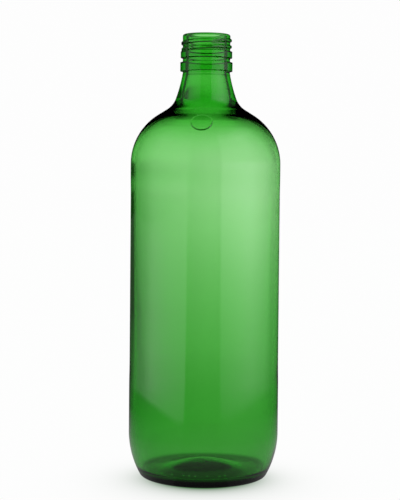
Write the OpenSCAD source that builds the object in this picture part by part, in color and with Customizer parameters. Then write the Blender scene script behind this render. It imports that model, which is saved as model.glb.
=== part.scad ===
// One-litre round glass bottle with a roll-on screw finish.
// The origin is on the axis in the plane that the bottle stands on, +Z is up and the front is -Y.
// The glass is one moulding. It is divided at its own regions, which meet face to face.

/* [Bottle] */
// Overall height, from the bearing face to the lip
bottle_h = 258; // [245:1:275]
// Diameter of the two contact bands, the widest part of the body
body_d = 87.4; // [82:0.1:92]
// Depth of the label panel below the contact bands
panel_depth = 0.15; // [0.1:0.05:0.6]
// Height of the label panel's lower edge
panel_low = 56; // [40:1:80]
// Height of the label panel's upper edge
panel_high = 174; // [120:1:176]
// Length of the slope at each edge of the label panel
panel_edge = 3; // [1:0.5:6]

/* [Shoulder and neck] */
// Distance from the lip down to the start of the shoulder
shoulder_drop = 75.5; // [73:0.25:78]
// Radius of the round shoulder
shoulder_r = 33.6; // [32:0.1:35]
// Steepest slope of the shoulder, measured from the vertical
slope_angle = 58; // [54:1:62]
// Length of the straight slope above the round shoulder
slope_len = 6; // [3:0.5:8]
// Radius of the hollow curve at the neck's root
root_r = 12.6; // [10:0.1:15]
// Slope at the top of the hollow curve, measured from the vertical
root_angle = 19.6; // [17:0.1:22]
// Radius of the long flare of the neck
flare_r = 90; // [80:1:110]

/* [Heel and base] */
// Height at which the heel starts to curve in
heel_h = 26; // [20:1:32]
// Radius of the heel's long curve
heel_r = 50; // [40:1:60]
// Radius of the corner between the heel and the bearing face
corner_r = 3; // [2:0.5:5]
// Width of the flat ring that the bottle stands on
bearing_w = 3; // [2:0.5:4]
// Height of the push-up at the middle of the underside
push_up_h = 5; // [3:0.5:6]
// Height at which the base meets the heel
base_h = 10; // [10:0.5:12]

/* [Glass thickness] */
// Wall where the heel meets the body, the body's thickest
heel_wall_t = 3; // [2.6:0.1:3.2]
// Wall where the body meets the shoulder, its thinnest
shoulder_wall_t = 1.35; // [1.2:0.05:2.4]
// Wall at the bottom of the shoulder's straight slope
slope_wall_t = 2.4; // [2.2:0.1:2.8]
// Wall at the top of the straight slope, where the neck's root starts
root_wall_t = 2.8; // [2.6:0.1:3.4]
// Wall at the foot of the neck
neck_wall_t = 4.1; // [3.4:0.1:4.4]
// Glass over the bearing ring
floor_t = 4.2; // [3.6:0.1:6.2]
// Glass over the middle of the push-up
centre_t = 4.6; // [3.5:0.1:4.8]
// Radius of the inner corner between the wall and the floor
inner_corner_r = 5; // [4:0.5:8]

/* [Screw finish] */
// Height of the finish, from the neck to the lip
finish_h = 22.8; // [22.5:0.1:24]
// Diameter of the thread land
land_d = 27.8; // [27.6:0.1:28.2]
// Diameter of the bore
bore_d = 21.3; // [20:0.1:22]
// Rounding of the lip
lip_r = 1.2; // [0.8:0.1:1.4]
// Diameter over the thread
thread_d = 29.5; // [29:0.1:29.6]
// Rise of the thread in one turn
thread_pitch = 3.7; // [3.2:0.1:4]
// Width of the thread at its root
thread_w = 2.5; // [2:0.1:2.6]
// Distance from the lip down to the thread's centre at its lower end
thread_drop = 9.35; // [9:0.05:9.6]
// Length of the thread, in degrees
thread_turn = 660; // [540:5:680]
// Direction of the thread's lower end, seen from above
thread_start = 150; // [0:5:355]
// Diameter of the retention bead
retention_d = 30.2; // [29.8:0.1:30.4]
// Distance from the lip to the top of the retention bead
retention_drop = 9.6; // [9.4:0.1:10]
// Height of the retention bead
retention_h = 4.6; // [4.2:0.1:4.8]
// Diameter of the transfer bead
transfer_d = 30.7; // [30.4:0.1:31]
// Distance from the lip to the top of the transfer bead
transfer_drop = 16; // [15.8:0.1:16.3]
// Height of the transfer bead
transfer_h = 5.7; // [5.4:0.1:5.8]
// Chamfer at the two edges of the transfer bead
transfer_edge = 0.4; // [0.2:0.1:0.8]

/* [Seal and mould code] */
// Diameter of the round disc on the shoulder
seal_d = 12; // [8:0.5:14]
// Height of the disc above the glass
seal_raise = 0.35; // [0.2:0.05:0.6]
// Angle of the disc's middle up the round shoulder
seal_angle = 44; // [36:1:46]
// Angle of the disc from the front, seen from above, towards the right
seal_turn = -4; // [-180:1:180]
// Diameter of a mould-code dot
dot_d = 1.3; // [1:0.1:1.6]
// Height of a dot above the glass
dot_raise = 0.4; // [0.3:0.05:0.5]
// Height of the row of dots
dot_h = 8.3; // [8:0.1:8.4]
// Angle between neighbouring places in the row
dot_step = 4.8; // [4:0.2:6]
// Angle from the front to the middle of the row
dot_turn = -10.8; // [-180:0.2:180]

/* [Hidden] */
$fn = 96;
front = -90;
glass = [0.36, 0.66, 0.33, 0.55];
raised_glass = [0.45, 0.76, 0.42, 0.7];

// Places in the row of dots: 1 is a dot and 0 is a gap.
dot_row = [1, 1, 0, 1, 0, 1, 1, 1, 0, 1, 0, 1, 1];

body_r = body_d / 2;
bore_r = bore_d / 2;
land_r = land_d / 2;
neck_z = bottle_h - finish_h;
shoulder_z = bottle_h - shoulder_drop;
retention_high = bottle_h - retention_drop;

// A point on the circle about c, and an arc of such points. Angles are from the horizontal.
function on_circle(c, r, a) = [c[0] + r * cos(a), c[1] + r * sin(a)];
function arc(c, r, from, to, steps) =
    [for (i = [0:steps]) on_circle(c, r, from + (to - from) * i / steps)];
function backwards(list) = [for (i = [len(list) - 1:-1:0]) list[i]];

// Heel: the long curve is tangent to the wall at heel_h and to the corner's curve.
heel_c = [body_r - heel_r, heel_h];
heel_a = asin((heel_h - corner_r) / (heel_r - corner_r));
corner_c = on_circle(heel_c, heel_r - corner_r, -heel_a);
bearing_r = corner_c[0] - bearing_w;

// Shoulder and neck: each stretch is tangent to the one before it.
shoulder_c = [body_r - shoulder_r, shoulder_z];
slope_low = on_circle(shoulder_c, shoulder_r, slope_angle);
slope_high = slope_low + slope_len * [-sin(slope_angle), cos(slope_angle)];
root_c = on_circle(slope_high, root_r, slope_angle);
flare_low = on_circle(root_c, -root_r, root_angle);
flare_c = on_circle(flare_low, flare_r, root_angle);
flare_angle = asin((flare_c[1] - neck_z) / flare_r);

function shoulder_outline(extra) =
    arc(shoulder_c, shoulder_r + extra, 0, slope_angle, 15);

function heel_outline() = concat(
    [[bearing_r, 0]],
    arc(corner_c, corner_r, -90, -heel_a, 5),
    arc(heel_c, heel_r, -heel_a, 0, 8));

function panel_outline() = [
    [body_r, panel_low - panel_edge],
    [body_r - panel_depth, panel_low],
    [body_r - panel_depth, panel_high],
    [body_r, panel_high + panel_edge]
];

function neck_outline() = concat(
    arc(root_c, -root_r, slope_angle, root_angle, 7),
    arc(flare_c, -flare_r, root_angle, flare_angle, 4));

// Inner wall: the same centres, with the thickness that each region has.
inner_heel_r = heel_r - heel_wall_t;
inner_heel_a = asin((heel_h - floor_t - inner_corner_r) / (inner_heel_r - inner_corner_r));
inner_corner_c = on_circle(heel_c, inner_heel_r - inner_corner_r, -inner_heel_a);
centre_h = push_up_h + centre_t;

// Floor: a smooth rise from the inner corner to the middle.
function floor_z(r) =
    floor_t + (centre_h - floor_t) * (1 + cos(180 * r / inner_corner_c[0])) / 2;

function floor_outline() = concat(
    [for (i = [0:9]) let (r = inner_corner_c[0] * i / 10) [r, floor_z(r)]],
    arc(inner_corner_c, inner_corner_r, -90, -inner_heel_a, 6),
    arc(heel_c, inner_heel_r, -inner_heel_a, 0, 6));

// The wall grows slowly at first up the round shoulder, and with level ends round the neck's root.
function shoulder_t(part) = shoulder_wall_t + (slope_wall_t - shoulder_wall_t) * part * part;
function root_t(part) = root_wall_t + (neck_wall_t - root_wall_t) * part * part * (3 - 2 * part);

function inner_neck_outline() = concat(
    [for (i = [0:16])
        on_circle(shoulder_c, shoulder_r - shoulder_t(i / 16), slope_angle * i / 16)],
    [for (i = [0:8])
        on_circle(root_c, -root_r - root_t(i / 8), slope_angle + (root_angle - slope_angle) * i / 8)],
    [[bore_r, neck_z]]);

function outer_outline() =
    concat(heel_outline(), panel_outline(), shoulder_outline(0), neck_outline());
function inner_outline() = concat(floor_outline(), inner_neck_outline());

// Underside: a shallow dome inside the bearing ring.
dome_r = (pow(bearing_r, 2) + pow(push_up_h, 2)) / (2 * push_up_h);
dome_a = asin(bearing_r / dome_r);
function dome_outline() =
    [for (i = [0:7]) on_circle([0, push_up_h - dome_r], dome_r, 90 - dome_a * i / 8)];

// The glass between two heights, below the finish.
module glass_between(low, high) {
    rotate_extrude() intersection() {
        polygon(concat(dome_outline(), outer_outline(), backwards(inner_outline())));
        translate([0, low]) square([body_r + 1, high - low]);
    }
}

module screw_finish() {
    color(glass) rotate_extrude() polygon(concat(
        [[bore_r, neck_z], [land_r, neck_z]],
        arc([land_r - lip_r, bottle_h - lip_r], lip_r, 0, 90, 5),
        arc([bore_r + lip_r, bottle_h - lip_r], lip_r, 90, 180, 5)));
}

// Thread: one section swept up a right-hand helix, fading out over its first and last stretch.
thread_fade = 40;
thread_rings = round(thread_turn / 7);
thread_root = land_r - 0.4;
function thread_height(turn) =
    min(1, turn / thread_fade, (thread_turn - turn) / thread_fade);

function thread_section(turn) =
    let (h = thread_height(turn),
         z = bottle_h - thread_drop + thread_pitch * turn / 360,
         top = thread_root + (thread_d / 2 - thread_root) * max(h, 0.1),
         half = thread_w / 2 * (0.5 + h / 2),
         a = thread_start + turn)
    [for (p = [[thread_root, -half], [top, -half / 3], [top, half / 3], [thread_root, half]])
        [p[0] * cos(a), p[0] * sin(a), z + p[1]]];

module swept_thread() {
    rings = [for (i = [0:thread_rings]) thread_section(thread_turn * i / thread_rings)];
    side_faces = [for (i = [0:thread_rings - 1], j = [0:3], half = [0, 1])
        let (k = 4 * i, n = (j + 1) % 4)
        half == 0 ? [k + j, k + 4 + j, k + n] : [k + n, k + 4 + j, k + 4 + n]];
    last = 4 * thread_rings;
    end_faces = [[0, 1, 2], [0, 2, 3], [last + 2, last + 1, last], [last + 3, last + 2, last]];
    polyhedron(
        [for (ring = rings, p = ring) p],
        concat(side_faces, end_faces));
}

// The thread's lower end runs out on top of the retention bead.
module screw_thread() {
    color(raised_glass) difference() {
        swept_thread();
        translate([0, 0, neck_z]) cylinder(h = finish_h, r = land_r, $fn = 360);
        translate([0, 0, neck_z]) cylinder(h = retention_high - neck_z, d = retention_d, $fn = 360);
    }
}

bead_round = 0.8;
module retention_bead() {
    low = retention_high - retention_h;
    inset = retention_d / 2 - bead_round;
    color(glass) rotate_extrude() polygon(concat(
        [[land_r, low]],
        arc([inset, low + bead_round], bead_round, -90, 0, 4),
        arc([inset, retention_high - bead_round], bead_round, 0, 90, 4),
        [[land_r, retention_high]]));
}

module transfer_bead() {
    high = bottle_h - transfer_drop;
    low = high - transfer_h;
    r = transfer_d / 2;
    color(glass) rotate_extrude() polygon([
        [land_r, low],
        [r - transfer_edge, low],
        [r, low + transfer_edge],
        [r, high - transfer_edge],
        [r - transfer_edge, high],
        [land_r, high]
    ]);
}

module neck() {
    color(glass) glass_between(slope_high[1], neck_z);
}

module shoulder() {
    color(glass) glass_between(shoulder_z, slope_high[1]);
}

module body_wall() {
    color(glass) glass_between(heel_h, shoulder_z);
}

module heel() {
    color(glass) glass_between(base_h, heel_h);
}

module base() {
    color(glass) glass_between(0, base_h);
}

// The round shoulder as a filled solid, this much larger than the glass.
module filled_shoulder(extra) {
    rotate_extrude() polygon(concat(
        [[0, shoulder_z]],
        shoulder_outline(extra),
        [[0, slope_low[1]]]));
}

module shoulder_seal() {
    middle = on_circle(shoulder_c, shoulder_r, seal_angle);
    color(raised_glass) rotate([0, 0, front + seal_turn]) difference() {
        intersection() {
            filled_shoulder(seal_raise);
            translate([middle[0], 0, middle[1]])
                rotate([0, 90 - seal_angle, 0])
                cylinder(h = 6, d = seal_d, center = true);
        }
        filled_shoulder(0);
    }
}

// One dot is a ball sunk in the heel, of which the cap stands proud.
module heel_dots() {
    sunk = dot_d / 2 - dot_raise;
    dot_a = asin((dot_h - heel_h) / heel_r);
    middle = on_circle(heel_c, heel_r - sunk, dot_a);
    centre_place = (len(dot_row) - 1) / 2;
    color(raised_glass) difference() {
        for (i = [0:len(dot_row) - 1])
            if (dot_row[i] == 1)
                rotate([0, 0, front + dot_turn + (i - centre_place) * dot_step])
                translate([middle[0], 0, middle[1]])
                sphere(d = dot_d);
        rotate_extrude($fn = 360) polygon(concat(heel_outline(), [[0, heel_h], [0, 0]]));
    }
}

screw_finish();
screw_thread();
retention_bead();
transfer_bead();
neck();
shoulder();
body_wall();
heel();
base();
shoulder_seal();
heel_dots();
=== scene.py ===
"""A bare green glass bottle with a roll-on screw finish, on a pale floor in a soft studio.

The CAD model divides the one moulding at its regions. Here the glass is one closed surface again, swept
round the axis with its true wall, and the thread, disc, dots and mould seams are raised from it.
Lengths are metres and angles are degrees unless a name says otherwise. The front is -Y.
"""

import math

import bpy
import numpy as np
from mathutils import Matrix, Vector


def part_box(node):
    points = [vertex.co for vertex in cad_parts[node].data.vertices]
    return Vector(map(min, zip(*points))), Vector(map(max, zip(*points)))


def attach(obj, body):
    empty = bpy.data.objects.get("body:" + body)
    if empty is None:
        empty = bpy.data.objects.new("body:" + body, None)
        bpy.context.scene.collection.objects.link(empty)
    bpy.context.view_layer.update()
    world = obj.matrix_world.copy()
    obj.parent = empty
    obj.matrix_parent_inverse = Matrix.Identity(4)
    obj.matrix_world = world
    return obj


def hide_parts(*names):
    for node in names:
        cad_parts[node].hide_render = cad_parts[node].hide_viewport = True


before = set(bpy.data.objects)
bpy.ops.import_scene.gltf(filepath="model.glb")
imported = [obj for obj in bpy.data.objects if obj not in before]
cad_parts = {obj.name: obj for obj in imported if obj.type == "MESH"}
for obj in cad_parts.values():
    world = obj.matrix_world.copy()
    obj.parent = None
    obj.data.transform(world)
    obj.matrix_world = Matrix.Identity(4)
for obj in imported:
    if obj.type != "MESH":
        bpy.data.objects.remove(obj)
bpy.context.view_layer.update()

MM = 0.001

# ---------------------------------------------------------------------------------------------- design
# The regions' heights come from the frame's nodes. Radii and wall thicknesses repeat the CAD source.
REGIONS = ("screw_finish", "screw_thread", "retention_bead", "transfer_bead", "neck", "shoulder",
           "body_wall", "heel", "base", "shoulder_seal", "heel_dots")


def low(node):
    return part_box(node)[0][2]


def high(node):
    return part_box(node)[1][2]


BOTTLE_H = high("screw_finish")
NECK_Z = low("screw_finish")
SLOPE_Z = low("neck")
SHOULDER_Z = low("shoulder")
HEEL_Z = high("heel")
BODY_R = 43.7 * MM
LAND_R = 13.9 * MM
BORE_R = 10.65 * MM
LIP_R = 1.2 * MM

SHOULDER_R = 33.6 * MM
SLOPE_ANGLE = 58
SLOPE_LEN = 6 * MM
ROOT_R = 12.6 * MM
ROOT_ANGLE = 19.6
FLARE_R = 90 * MM
HEEL_R = 50 * MM
CORNER_R = 3 * MM
BEARING_W = 3 * MM
PUSH_UP_H = 5 * MM
PANEL_DEPTH = 0.15 * MM
PANEL_LOW = 56 * MM
PANEL_HIGH = 174 * MM
PANEL_EDGE = 3 * MM
PANEL_SOFT = 14 * MM

WALL_LOW_T = 3 * MM
WALL_HIGH_T = 1.35 * MM
SLOPE_WALL_T = 2.4 * MM
ROOT_WALL_T = 2.8 * MM
NECK_WALL_T = 4.1 * MM
WALL_OFFSET = 0.3 * MM
WALL_OFFSET_FADE = 40 * MM
FLOOR_T = 4.2 * MM
CENTRE_H = 9.6 * MM
INNER_CORNER_R = 5 * MM

THREAD_R = 14.75 * MM
THREAD_PITCH = 3.7 * MM
THREAD_W = 2.5 * MM
THREAD_FLANK = 0.6
THREAD_LOW = BOTTLE_H - 9.35 * MM
THREAD_TURN = 660
THREAD_START = 150
THREAD_FADE = 40

RETENTION_R = 15.1 * MM
RETENTION_LOW, RETENTION_HIGH = low("retention_bead"), high("retention_bead")
TRANSFER_R = 15.35 * MM
TRANSFER_LOW, TRANSFER_HIGH = low("transfer_bead"), high("transfer_bead")
RING_EDGE = 0.5 * MM
TRANSFER_LOW_EDGE, TRANSFER_HIGH_EDGE = 0.2 * MM, 0.4 * MM
RING_LINE_H = 0.15 * MM
RING_LINE_HALF_W = 0.35 * MM
RING_LINE_DROP = 0.9 * MM

FRONT = -90
SEAL_ANGLE = 44
SEAL_TURN = -4
SEAL_R = 6 * MM
SEAL_RAISE = 0.35 * MM
SEAL_EDGE = 0.4 * MM
DOT_R = 0.65 * MM
DOT_RAISE = 0.4 * MM
DOT_H = 8.3 * MM
DOT_STEP = 4.8
DOT_TURN = -10.8
DOT_ROW = (1, 1, 0, 1, 0, 1, 1, 1, 0, 1, 0, 1, 1)

SEAM_RAISE = 0.05 * MM
SEAM_ANGLE = 0.8
SEAM_LOW, SEAM_LOW_FADE, SEAM_HIGH_FADE = 4 * MM, 4 * MM, 2 * MM
INNER_WAVE = 0.06 * MM
OUTER_WAVE = 0.012 * MM
WAVE_COUNT = 7
INNER_SEED, OUTER_SEED = 3, 8
WAVE_START = 2 * MM
WAVE_LOW_FADE, WAVE_HIGH_FADE = 20 * MM, 30 * MM

FINE_FROM, FINE_TO, FINE_STEP = -42, 26, 0.4
PLAIN_STEP = 1.5


# ---------------------------------------------------------------------------------------------- outline
def rad(angle):
    return math.radians(angle)


def on_circle(centre, r, angle):
    return (centre[0] + r * math.cos(rad(angle)), centre[1] + r * math.sin(rad(angle)))


def arc(centre, r, start, end, steps):
    """Points on an arc, without its last point, which starts the next stretch."""
    return [on_circle(centre, r, start + (end - start) * i / steps) for i in range(steps)]


def line(start, end, steps):
    return [(start[0] + (end[0] - start[0]) * i / steps, start[1] + (end[1] - start[1]) * i / steps)
            for i in range(steps)]


def asin(value):
    return math.degrees(math.asin(value))


heel_c = (BODY_R - HEEL_R, HEEL_Z)
heel_a = asin((HEEL_Z - CORNER_R) / (HEEL_R - CORNER_R))
corner_c = on_circle(heel_c, HEEL_R - CORNER_R, -heel_a)
bearing_r = corner_c[0] - BEARING_W

shoulder_c = (BODY_R - SHOULDER_R, SHOULDER_Z)
slope_low = on_circle(shoulder_c, SHOULDER_R, SLOPE_ANGLE)
slope_high = (slope_low[0] - SLOPE_LEN * math.sin(rad(SLOPE_ANGLE)),
              slope_low[1] + SLOPE_LEN * math.cos(rad(SLOPE_ANGLE)))
root_c = on_circle(slope_high, ROOT_R, SLOPE_ANGLE)
flare_low = on_circle(root_c, -ROOT_R, ROOT_ANGLE)
flare_c = on_circle(flare_low, FLARE_R, ROOT_ANGLE)
flare_a = asin((flare_c[1] - NECK_Z) / FLARE_R)

inner_heel_r = HEEL_R - WALL_LOW_T
inner_heel_a = asin((HEEL_Z - FLOOR_T - INNER_CORNER_R) / (inner_heel_r - INNER_CORNER_R))
inner_corner_c = on_circle(heel_c, inner_heel_r - INNER_CORNER_R, -inner_heel_a)


def outer_outline():
    """From the middle of the underside, round the heel and up to the lip. The finish is plain here."""
    dome_r = (bearing_r ** 2 + PUSH_UP_H ** 2) / (2 * PUSH_UP_H)
    dome_a = asin(bearing_r / dome_r)
    panel_low = [(BODY_R - swell(0, PANEL_DEPTH, i / 16), PANEL_LOW - PANEL_EDGE + PANEL_SOFT * i / 16)
                 for i in range(17)]
    panel_high = [(r, PANEL_LOW + PANEL_HIGH - z) for r, z in reversed(panel_low)]
    neck_r = on_circle(flare_c, -FLARE_R, flare_a)[0]
    return (arc((0, PUSH_UP_H - dome_r), dome_r, 90, 90 - dome_a, 24)
            + line((bearing_r, 0), (corner_c[0], 0), 4)
            + arc(corner_c, CORNER_R, -90, -heel_a, 12)
            + arc(heel_c, HEEL_R, -heel_a, 0, 100)
            + line((BODY_R, HEEL_Z), panel_low[0], 10)
            + panel_low[:-1]
            + line(panel_low[-1], panel_high[0], 40)
            + panel_high[:-1]
            + line(panel_high[-1], (BODY_R, SHOULDER_Z), 4)
            + arc(shoulder_c, SHOULDER_R, 0, SLOPE_ANGLE, 110)
            + line(slope_low, slope_high, 10)
            + arc(root_c, -ROOT_R, SLOPE_ANGLE, ROOT_ANGLE, 22)
            + arc(flare_c, -FLARE_R, ROOT_ANGLE, flare_a, 36)
            + line((neck_r, NECK_Z), (LAND_R, BOTTLE_H - LIP_R), 220)
            + arc((LAND_R - LIP_R, BOTTLE_H - LIP_R), LIP_R, 0, 90, 10))


def swell(start, end, part):
    return start + (end - start) * float(smooth(part))


def inner_neck():
    """From the foot of the neck down to the body: thick at the neck, thinnest where the body starts."""
    points = []
    for i in range(25):
        angle = ROOT_ANGLE + (SLOPE_ANGLE - ROOT_ANGLE) * i / 24
        points.append(on_circle(root_c, -ROOT_R - swell(NECK_WALL_T, ROOT_WALL_T, i / 24), angle))
    for i in range(61):
        up = 1 - i / 60
        wall = WALL_HIGH_T + (SLOPE_WALL_T - WALL_HIGH_T) * up ** 2
        points.append(on_circle(shoulder_c, SHOULDER_R - wall, SLOPE_ANGLE * up))
    return points


def inner_outline():
    """From the lip, down the bore and the wall to the middle of the floor."""
    floor = [(inner_corner_c[0] * (1 - i / 24), FLOOR_T + (CENTRE_H - FLOOR_T)
              * (1 + math.cos(math.pi * (1 - i / 24))) / 2) for i in range(25)]
    neck = inner_neck()
    return (line((LAND_R - LIP_R, BOTTLE_H), (BORE_R + LIP_R, BOTTLE_H), 3)
            + arc((BORE_R + LIP_R, BOTTLE_H - LIP_R), LIP_R, 90, 180, 10)
            + line((BORE_R, BOTTLE_H - LIP_R), (BORE_R, NECK_Z), 24)
            + line((BORE_R, NECK_Z), neck[0], 20)
            + neck[:-1]
            + line(neck[-1], (BODY_R - WALL_LOW_T, HEEL_Z), 44)
            + arc(heel_c, inner_heel_r, 0, -inner_heel_a, 24)
            + arc(inner_corner_c, INNER_CORNER_R, -inner_heel_a, -90, 14)
            + floor)


# ---------------------------------------------------------------------------------------------- relief
def smooth(value):
    """0 to 1 with level ends."""
    t = np.clip(value, 0, 1)
    return t * t * (3 - 2 * t)


def turn_from(angles, middle):
    """Signed angle from a direction, in degrees."""
    return (angles - middle + 180) % 360 - 180


def ring_height(z, low_z, high_z, r, low_edge, high_edge):
    """Height above the land of a ring with sloping edges."""
    slope = np.minimum((z - low_z) / low_edge, (high_z - z) / high_edge)
    return (r - LAND_R) * np.clip(slope, 0, 1)


def thread_height(angles, z):
    """Height above the land of the right-hand thread, which fades in and out at its ends."""
    result = np.zeros(np.broadcast(angles, z).shape)
    first = (angles - THREAD_START) % 360
    for wrap in range(2):
        turn = first + 360 * wrap
        fade = smooth(np.minimum(turn, THREAD_TURN - turn) / THREAD_FADE)
        middle = THREAD_LOW + THREAD_PITCH * turn / 360
        across = np.abs(z - middle) / (THREAD_W / 2)
        result = np.maximum(result, (THREAD_R - LAND_R) * fade * smooth((1 - across) / THREAD_FLANK))
    return result


def finish_height(angles, z):
    """Relief of the screw finish over the neck's plain outline."""
    rings = np.maximum(
        ring_height(z, RETENTION_LOW, RETENTION_HIGH, RETENTION_R, RING_EDGE, RING_EDGE),
        ring_height(z, TRANSFER_LOW, TRANSFER_HIGH, TRANSFER_R, TRANSFER_LOW_EDGE, TRANSFER_HIGH_EDGE))
    from_line = np.abs(z - (NECK_Z - RING_LINE_DROP))
    ring_line = RING_LINE_H * smooth(1 - from_line / RING_LINE_HALF_W)
    return np.maximum(np.maximum(rings, thread_height(angles, z)), ring_line)


def seal_height(places):
    """Plain round disc on the shoulder."""
    centre_r, centre_z = on_circle(shoulder_c, SHOULDER_R, SEAL_ANGLE)
    a = rad(FRONT + SEAL_TURN)
    centre = np.array((centre_r * math.cos(a), centre_r * math.sin(a), centre_z))
    away = np.linalg.norm(places - centre, axis=-1)
    return SEAL_RAISE * smooth((SEAL_R - away) / SEAL_EDGE + 0.5)


def dots_height(places):
    """Row of small round dots on the heel."""
    a = asin((DOT_H - HEEL_Z) / HEEL_R)
    r, z = on_circle(heel_c, HEEL_R, a)
    height = np.zeros(places.shape[:-1])
    for i, there in enumerate(DOT_ROW):
        if there:
            turn = rad(FRONT + DOT_TURN + (i - (len(DOT_ROW) - 1) / 2) * DOT_STEP)
            centre = np.array((r * math.cos(turn), r * math.sin(turn), z))
            away = np.linalg.norm(places - centre, axis=-1)
            ball = np.sqrt(np.maximum(DOT_R ** 2 - away ** 2, 0)) - (DOT_R - DOT_RAISE)
            height = np.maximum(height, ball)
    return height


def seam_height(angles, z):
    """The mould's two vertical parting lines, from the heel to the finish."""
    away = np.minimum(np.abs(turn_from(angles, 0)), np.abs(turn_from(angles, 180)))
    across = smooth(1 - away / SEAM_ANGLE)
    return (SEAM_RAISE * across * smooth((z - SEAM_LOW) / SEAM_LOW_FADE)
            * smooth((NECK_Z - z) / SEAM_HIGH_FADE))


def wall_wave(angles, z, height, seed):
    """Slow unevenness of blown glass: a few waves round and along the bottle."""
    rng = np.random.default_rng(seed)
    total = 0
    for _ in range(WAVE_COUNT):
        around = rng.integers(1, 6)
        along = rng.uniform(8, 45)
        phase = rng.uniform(0, 2 * math.pi, 2)
        total = total + np.sin(np.radians(angles) * around + phase[0]) * np.sin(z * along + phase[1])
    return height * total / math.sqrt(WAVE_COUNT)


# ---------------------------------------------------------------------------------------------- mesh
def azimuths():
    """Directions of the mesh's meridians: close together at the front, where the small relief is."""
    fine = np.arange(FINE_FROM, FINE_TO, FINE_STEP)
    plain = np.arange(FINE_TO, FINE_FROM + 360, PLAIN_STEP)
    return FRONT + np.concatenate((fine, plain))


def outline_normals(points):
    """Unit normals of an outline in its own plane, pointing out of the glass."""
    ahead = np.gradient(points, axis=0)
    ahead /= np.linalg.norm(ahead, axis=1, keepdims=True)
    return np.stack((ahead[:, 1], -ahead[:, 0]), axis=1)


def moulded_places():
    """Points of the whole glass surface, one row for each point of the outline, with the relief raised."""
    outer = outer_outline()
    points = np.array(outer + inner_outline())
    normals = outline_normals(points)
    angles = azimuths()[None, :]
    r, z = points[:, 0:1], points[:, 1:2]
    a = np.radians(angles)
    places = np.stack((r * np.cos(a), r * np.sin(a), z + 0 * a), axis=-1)
    is_outer = (np.arange(len(points)) < len(outer))[:, None]
    is_wall = is_outer & (z > 1 * MM) & (r > LAND_R * 0.9)

    relief = np.where(is_wall & (z > SHOULDER_Z) & (z < SLOPE_Z), seal_height(places), 0)
    relief = relief + np.where(is_wall & (z < HEEL_Z), dots_height(places), 0)
    relief = relief + np.where(is_wall, seam_height(angles, z), 0)
    in_finish = is_wall & (z > NECK_Z - 2 * MM) & (z < BOTTLE_H - LIP_R)
    finish = np.where(in_finish, finish_height(angles, z), 0)

    # The wall is uneven only between the base and the finish, and thinner on the right than on the left.
    fade = smooth((NECK_Z - z) / WAVE_HIGH_FADE) * smooth((z - WAVE_START) / WAVE_LOW_FADE)
    thin_side = -WALL_OFFSET * np.cos(a) * smooth((SLOPE_Z - z) / WALL_OFFSET_FADE)
    inner_wave = np.where(is_outer, 0, fade * (thin_side + wall_wave(angles, z, INNER_WAVE, INNER_SEED)))
    outer_wave = np.where(is_wall, -fade * np.abs(wall_wave(angles, z, OUTER_WAVE, OUTER_SEED)), 0)
    push = relief + inner_wave + outer_wave

    new_r = np.minimum(r + normals[:, 0:1] * push + finish, BODY_R)
    new_z = z + normals[:, 1:2] * push
    new_r[0, :] = 0
    new_r[-1, :] = 0
    return np.stack((new_r * np.cos(a), new_r * np.sin(a), new_z + 0 * a), axis=-1)


def build_glass():
    """The glass as one closed mesh. Its first and last rows are the two poles on the axis."""
    places = moulded_places()
    rows, around = places.shape[:2]
    body = places[1:-1].reshape(-1, 3)
    under = len(body)
    top = under + 1
    verts = np.concatenate((body, places[0, :1], places[-1, :1]))
    row = np.arange(rows - 3)[:, None] * around
    i = np.arange(around)[None, :]
    j = (i + 1) % around
    quads = np.stack((row + i, row + j, row + around + j, row + around + i), axis=-1).reshape(-1, 4)
    last = (rows - 3) * around
    first_fan = [(under, int(b), int(c)) for b, c in zip(j[0], i[0])]
    last_fan = [(top, last + int(b), last + int(c)) for b, c in zip(i[0], j[0])]
    mesh = bpy.data.meshes.new("bottle_glass")
    mesh.from_pydata(verts.tolist(), [], quads.tolist() + first_fan + last_fan)
    mesh.polygons.foreach_set("use_smooth", [True] * len(mesh.polygons))
    mesh.update()
    glass = bpy.data.objects.new("bottle_glass", mesh)
    bpy.context.collection.objects.link(glass)
    return glass


# ---------------------------------------------------------------------------------------------- material
GLASS_TINT = (0.20, 0.805, 0.11)
GLASS_DENSITY = 600
GLASS_IOR = 1.52


def glass_material():
    """Clear green bottle glass: the colour is in its depth, so thick places are darker."""
    mat = bpy.data.materials.new("green_glass")
    mat.use_nodes = True
    nodes, links = mat.node_tree.nodes, mat.node_tree.links
    shader = nodes["Principled BSDF"]
    shader.inputs["Base Color"].default_value = (1, 1, 1, 1)
    shader.inputs["Roughness"].default_value = 0.0
    shader.inputs["IOR"].default_value = GLASS_IOR
    shader.inputs["Transmission Weight"].default_value = 1.0
    depth = nodes.new("ShaderNodeVolumeAbsorption")
    depth.inputs["Color"].default_value = (*GLASS_TINT, 1)
    depth.inputs["Density"].default_value = GLASS_DENSITY
    links.new(depth.outputs[0], nodes["Material Output"].inputs["Volume"])
    return mat


# ---------------------------------------------------------------------------------------------- studio
# Levels are radiances, where 1 is the white of the backdrop. Directions are degrees from +Y, to the right.
# Floor and world send their own levels to the camera, to light seen through the glass ("through") and to
# light reflected in it ("mirrored"); the floor's levels are painted light and shade, as no lamp lights it.
# A curve is a row of (place, level) stops with straight lines between.
WHITE = 0.985
FLOOR_SIZE = 8.0
PEAK = 2.0

# Around the bottle, by direction.
BEHIND = ((-180, 0.02), (-155, 0.02), (-152, 0.5), (-118, 0.9), (-60, 0.3), (-48, 0.95), (-38, 0.13),
          (-17, 0.13), (-11, 0.6), (0, 1), (45, 1), (60, 0.6), (124, 0.8), (155, 0.4), (158, 0.02),
          (180, 0.02))
LEFT = ((-180, 0), (-154, 0), (-152, 0.5), (-107, 1), (-95, 1), (-77, 0.45), (-54, 0.1), (-38, 0), (180, 0))
RIGHT = ((-180, 0), (30, 0), (60, 0.1), (104, 1), (114, 1), (155, 0.4), (157, 0), (180, 0))

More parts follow.
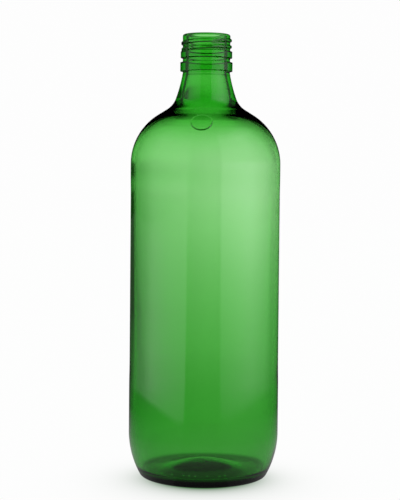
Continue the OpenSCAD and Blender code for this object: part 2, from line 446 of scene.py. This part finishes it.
# By the angle to either side of the backdrop's middle: its upper part, and its part near the horizon.
UPPER_ASIDE = ((0, 1), (34, 1), (42, 0.15), (75, 0.15), (100, 0.3), (155, 0.3), (158, 0.02), (180, 0.02))
LOWER_ASIDE = ((0, 1), (42, 1), (62, 0.35), (180, 0.35))

# In the world, by angle above the horizon.
BEHIND_RISE = ((-90, 0.5), (-2, 1), (11, 1), (24, 0.1), (90, 0.04))
UPPER_RISE = ((-90, 0), (-1.5, 0), (1.5, 1), (90, 1))
LEFT_RISE = ((-90, 1.1), (-2, 1), (-0.5, 0.7), (36, 0.6), (60, 0.1), (90, 0))
RIGHT_RISE = ((-90, 1.9), (0, 1.9), (6, 1), (14, 1), (24, 1.3), (34, 1.3), (45, 1.5), (54, 0.9), (60, 0.3),
              (70, 0), (90, 0))

# On the floor, by distance from the bottle's axis: painted light and shade, darkest under and round the
# bottle's foot.
FLOOR_THROUGH = ((0.033, 0.07), (0.0355, 0.3), (0.045, 0.6), (0.15, 0.63), (0.3, 0.67), (0.6, 0.78),
                 (1, 0.85), (2.5, 0.97), (4, 1))
FLOOR_BEHIND = ((0.15, 0), (0.3, 0.5), (0.8, 1))
FLOOR_FAR = ((0.8, 0), (4, 1))
FLOOR_NEAR = ((0.034, 0.03), (0.045, 0.2), (0.07, 0.4), (0.13, 0.3), (0.25, 0.05), (4, 0.05))

# Both side lights end above the floor, higher up beside the bottle than towards the camera: the first curve,
# by angle to either side, says how much of the distance doesn't count for the two that follow it.
SIDE_REACH = ((0, 0.11), (70, 0.1), (105, 0.065), (143, 0.012), (180, 0.01))
# The floor's painted light from the two side lights, which it shows only in the glass's reflections.
FLOOR_LEFT = ((0, 0.1), (0.225, 0.1), (0.25, 0.9), (0.32, 1.2), (0.52, 1.4), (2.4, 1.4), (4, 1.1))
FLOOR_RIGHT = ((0, 0.1), (0.23, 0.1), (0.29, 0.6), (0.4, 0.9), (0.9, 1.15), (1.7, 1.6), (2.4, 1.9),
               (4, 1.9))

# The painted soft shadow round the bottle's foot, which reaches furthest towards the camera and is faintly
# green with painted light from the glass.
SHADOW_EDGE = 35.2 * MM
SHADOW_REACH = 11 * MM
SHADOW_FALL = 0.9
SHADOW_DARKEST = 0.03
SHADOW_SLANT = 0.32
SHADOW_GREEN = 0.13


class Levels:
    """Short names for the value nodes of one material or world."""

    def __init__(self, tree):
        self.nodes, self.links = tree.nodes, tree.links

    def node(self, kind, *values):
        made = self.nodes.new(kind)
        for socket, value in zip(made.inputs, values):
            if hasattr(value, "is_output"):
                self.links.new(value, socket)
            elif value is not None:
                socket.default_value = value
        return made

    def math(self, operation, *values):
        made = self.node("ShaderNodeMath", *values)
        made.operation = operation
        return made.outputs[0]

    def curve(self, value, stops):
        """A level that runs straight from one (place, level) stop to the next."""
        place = self.node("ShaderNodeMapRange", value, stops[0][0], stops[-1][0]).outputs[0]
        ramp = self.node("ShaderNodeValToRGB", place)
        elements = ramp.color_ramp.elements
        span = stops[-1][0] - stops[0][0]
        for where, level in stops[1:-1]:
            elements.new((where - stops[0][0]) / span)
        for element, (where, level) in zip(elements, stops):
            element.color = (level / PEAK, level / PEAK, level / PEAK, 1)
        return self.math("MULTIPLY", ramp.outputs[0], PEAK)

    def mix(self, factor, first, second):
        """first where the factor is 0 and second where it is 1."""
        change = self.math("SUBTRACT", second, first)
        return self.math("MULTIPLY_ADD", factor, change, first)

    def direction(self, x, y):
        return self.math("DEGREES", self.math("ARCTAN2", x, y))


def shadow_level(made, away, y):
    """The white of the floor as the camera sees it, with a painted shadow that lightens away from the
    bottle's foot.
    """
    place = made.math("MULTIPLY_ADD", y, SHADOW_SLANT, made.math("MULTIPLY", away, 1 + SHADOW_SLANT))
    clear = made.math("DIVIDE", made.math("SUBTRACT", place, SHADOW_EDGE), SHADOW_REACH)
    fall = made.math("POWER", made.math("MAXIMUM", clear, 0), SHADOW_FALL)
    dark = made.math("EXPONENT", made.math("MULTIPLY", fall, -1))
    light = made.math("MULTIPLY", made.math("SUBTRACT", 1, dark), WHITE)
    return made.math("MAXIMUM", light, SHADOW_DARKEST)


def build_floor():
    """A white table that glows with painted light: the camera sees it white up to a painted soft shadow
    round the bottle's foot.
    """
    mesh = bpy.data.meshes.new("floor")
    s = FLOOR_SIZE / 2
    mesh.from_pydata([(-s, -s, 0), (s, -s, 0), (s, s, 0), (-s, s, 0)], [], [(0, 1, 2, 3)])
    floor = bpy.data.objects.new("floor", mesh)
    bpy.context.collection.objects.link(floor)
    mat = bpy.data.materials.new("pale_floor")
    mat.use_nodes = True
    tree = mat.node_tree
    tree.nodes.remove(tree.nodes["Principled BSDF"])
    made = Levels(tree)
    place = made.node("ShaderNodeNewGeometry").outputs["Position"]
    split = made.node("ShaderNodeSeparateXYZ", place)
    x, y = split.outputs[0], split.outputs[1]
    away = made.math("SQRT", made.math("ADD", made.math("MULTIPLY", x, x), made.math("MULTIPLY", y, y)))
    turn = made.direction(x, y)
    aside = made.math("ABSOLUTE", turn)
    shade = shadow_level(made, away, y)

    # Painted light and shade seen through the glass: darkest under the bottle's foot, lighter further out.
    through = made.math("MULTIPLY", made.curve(away, FLOOR_THROUGH),
                        made.mix(made.curve(away, FLOOR_BEHIND), 1, made.curve(turn, BEHIND)))
    # The far end meets the world's level, so that no line shows through the glass from the sides.
    far = made.mix(made.curve(away, FLOOR_FAR), 1, made.curve(aside, LOWER_ASIDE))
    through = made.math("MULTIPLY", through, far)

    # Painted light seen in the glass's reflections: shade near the foot and the glow of the two side lights.
    reach = made.math("SUBTRACT", away, made.curve(aside, SIDE_REACH))
    left = made.math("MULTIPLY", made.curve(turn, LEFT), made.curve(reach, FLOOR_LEFT))
    right = made.math("MULTIPLY", made.curve(turn, RIGHT), made.curve(reach, FLOOR_RIGHT))
    mirrored = made.math("ADD", made.curve(away, FLOOR_NEAR), made.math("ADD", left, right))
    path = made.node("ShaderNodeLightPath").outputs
    level = made.mix(path["Is Camera Ray"], made.mix(path["Is Transmission Ray"], mirrored, through), shade)
    # Painted green light, as if passed through the glass, in the camera's view of the shadow.
    seen = made.math("MULTIPLY", path["Is Camera Ray"], SHADOW_GREEN)
    painted_green_light = made.math("MULTIPLY", made.math("SUBTRACT", 1, level), seen)
    colour = made.node("ShaderNodeCombineColor", level, made.math("ADD", level, painted_green_light), level).outputs[0]
    emission = made.node("ShaderNodeEmission", colour, 1)
    tree.links.new(emission.outputs[0], tree.nodes["Material Output"].inputs["Surface"])
    mesh.materials.append(mat)


def build_world():
    """The room: a white backdrop, a light at each side, and dark above and on the camera's side."""
    world = bpy.data.worlds.new("studio")
    bpy.context.scene.world = world
    world.use_nodes = True
    made = Levels(world.node_tree)
    coords = made.node("ShaderNodeTexCoord").outputs["Generated"]
    split = made.node("ShaderNodeSeparateXYZ", coords)
    x, y, z = split.outputs
    turn = made.direction(x, y)
    rise = made.math("DEGREES", made.math("ARCSINE", z))
    aside = made.math("ABSOLUTE", turn)
    lower = made.math("MULTIPLY", made.curve(turn, BEHIND), made.curve(aside, LOWER_ASIDE))
    around = made.mix(made.curve(rise, UPPER_RISE), lower, made.curve(aside, UPPER_ASIDE))
    through = made.math("MULTIPLY", made.curve(rise, BEHIND_RISE), around)
    left = made.math("MULTIPLY", made.curve(turn, LEFT), made.curve(rise, LEFT_RISE))
    right = made.math("MULTIPLY", made.curve(turn, RIGHT), made.curve(rise, RIGHT_RISE))
    mirrored = made.math("ADD", left, right)
    path = made.node("ShaderNodeLightPath").outputs
    level = made.mix(path["Is Camera Ray"], made.mix(path["Is Transmission Ray"], mirrored, through), WHITE)
    background = world.node_tree.nodes["Background"]
    world.node_tree.links.new(level, background.inputs["Strength"])
    background.inputs["Color"].default_value = (1, 1, 1, 1)


# ---------------------------------------------------------------------------------------------- camera
EYE = Vector((0, -0.79, 0.1777))
AIM = Vector((-0.003, 0, 0.155))
LENS = 97.2
SHIFT = -0.078
ROLL = 0.5


def build_camera():
    data = bpy.data.cameras.new("camera")
    data.sensor_width = 36
    data.sensor_fit = "AUTO"
    data.lens = LENS
    data.shift_y = SHIFT
    data.clip_start = 0.01
    camera = bpy.data.objects.new("camera", data)
    turn = (AIM - EYE).to_track_quat("-Z", "Y").to_matrix().to_4x4()
    camera.matrix_world = Matrix.Translation(EYE) @ turn @ Matrix.Rotation(rad(ROLL), 4, "Z")
    bpy.context.collection.objects.link(camera)
    bpy.context.scene.camera = camera


build_camera()
glass = build_glass()
glass.data.materials.append(glass_material())
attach(glass, "root")
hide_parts(*REGIONS)
build_floor()
build_world()

scene = bpy.context.scene
scene.view_settings.view_transform = "Standard"
scene.cycles.max_bounces = 24
scene.cycles.transmission_bounces = 24
scene.cycles.glossy_bounces = 12
